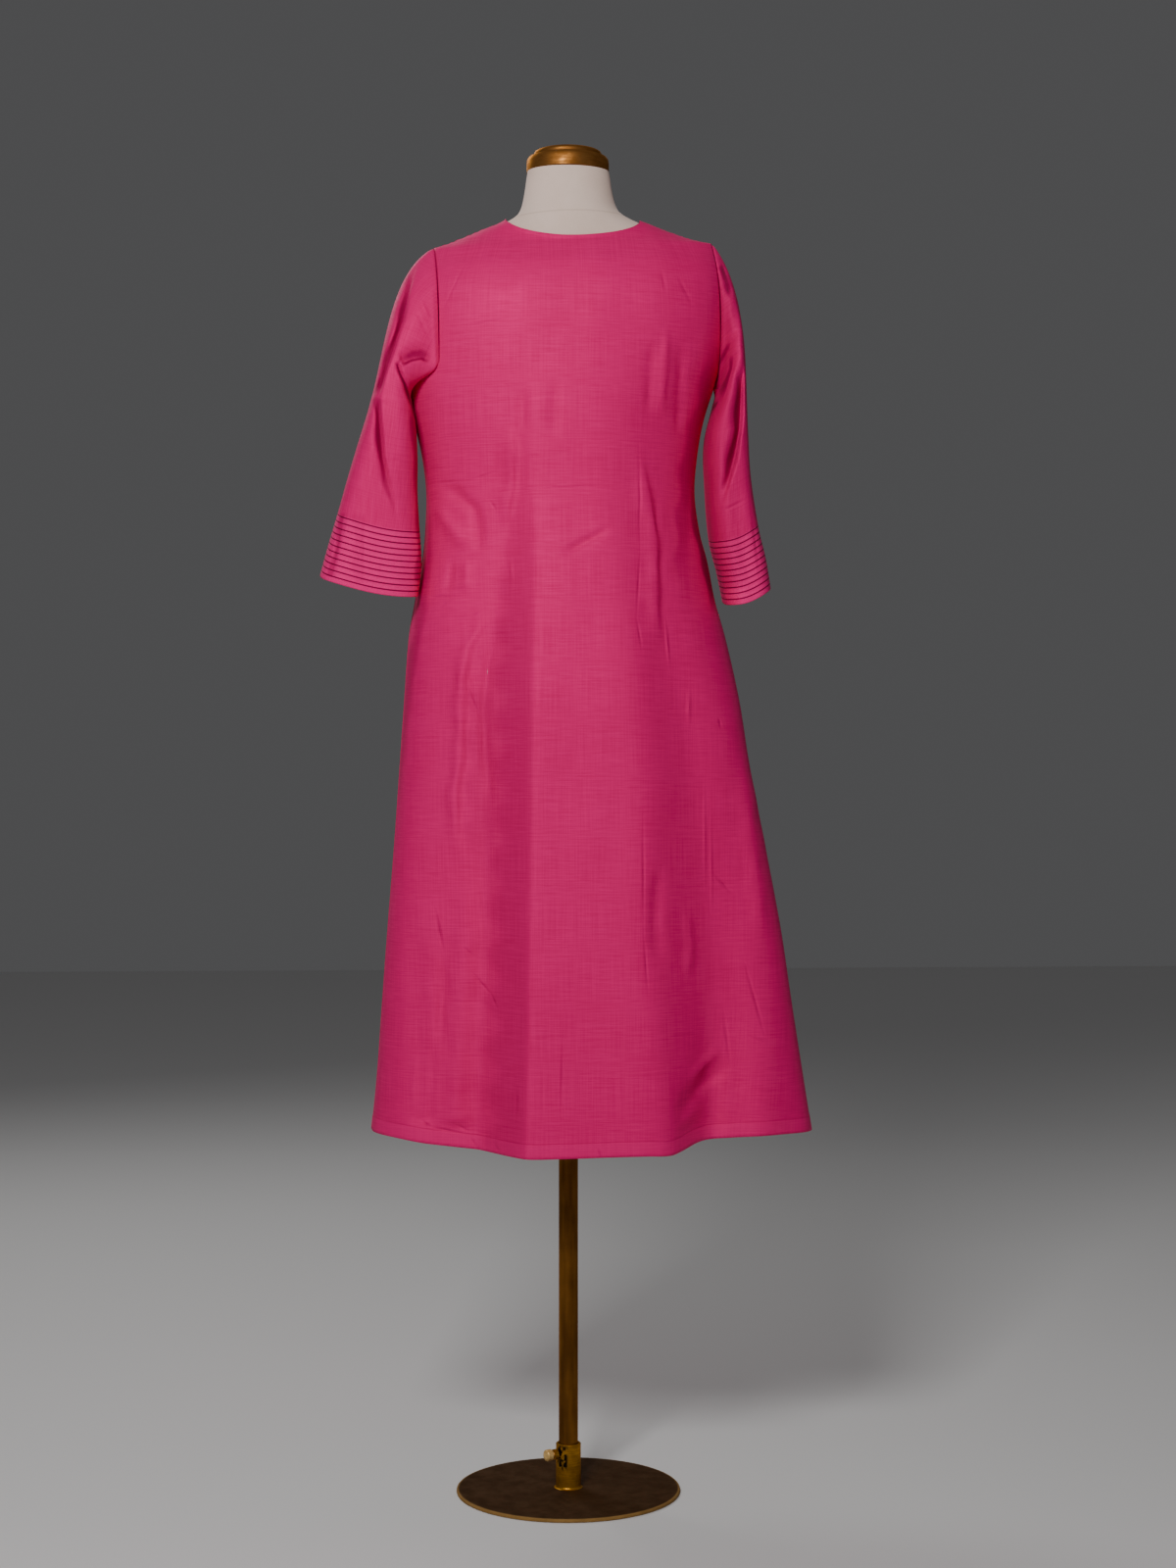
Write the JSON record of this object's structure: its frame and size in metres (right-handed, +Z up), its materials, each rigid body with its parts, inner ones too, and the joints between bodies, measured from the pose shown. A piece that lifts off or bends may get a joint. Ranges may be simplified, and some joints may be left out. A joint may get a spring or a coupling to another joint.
{
  "type": "kurti on a dress form",
  "caption": "Knee-length A-line kurti with set-in pintucked three-quarter sleeves, worn on a limbless dress form with a turned neck cap, pole and round base.",
  "frame": {"origin": "centre of the base plate's underside, where the pole's axis meets the floor", "axes": "+Z up along the pole; the garment's back faces -Y and its front +Y; +X is the picture's right"},
  "size_m": [0.6212, 0.3211, 1.7082],
  "materials": {
    "fuchsia_cloth": "slubbed silk and cotton weave, soft sheen",
    "form_cover": "smooth linen stretched over the form",
    "golden_bronze": "satin gilt, slightly worn",
    "pole_bronze": "bronzed, worn",
    "screw_brass": "polished",
    "dark_bronze": "dark bronzed steel with a rubbed rim"
  },
  "bodies": {
    "stand": {"base_plate": "dark_bronze", "base_socket": "pole_bronze"},
    "form": {"pole": "pole_bronze", "form_torso": "form_cover", "neck_cap": "golden_bronze", "back_panel": "fuchsia_cloth", "front_panel": "fuchsia_cloth", "left_sleeve": "fuchsia_cloth", "right_sleeve": "fuchsia_cloth"},
    "screw": {"clamp_screw": "screw_brass"}
  },
  "joints": [
    {"name": "form_turn", "type": "hinge", "parent": "stand", "child": "form", "pos_m": [0, 0, 0.5], "axis": [0, 0, 1], "continuous": true},
    {"name": "screw_turn", "type": "hinge", "parent": "stand", "child": "screw", "pos_m": [0, 0, 0.049], "axis": [-0.8771, -0.4802, 0], "continuous": true}
  ]
}
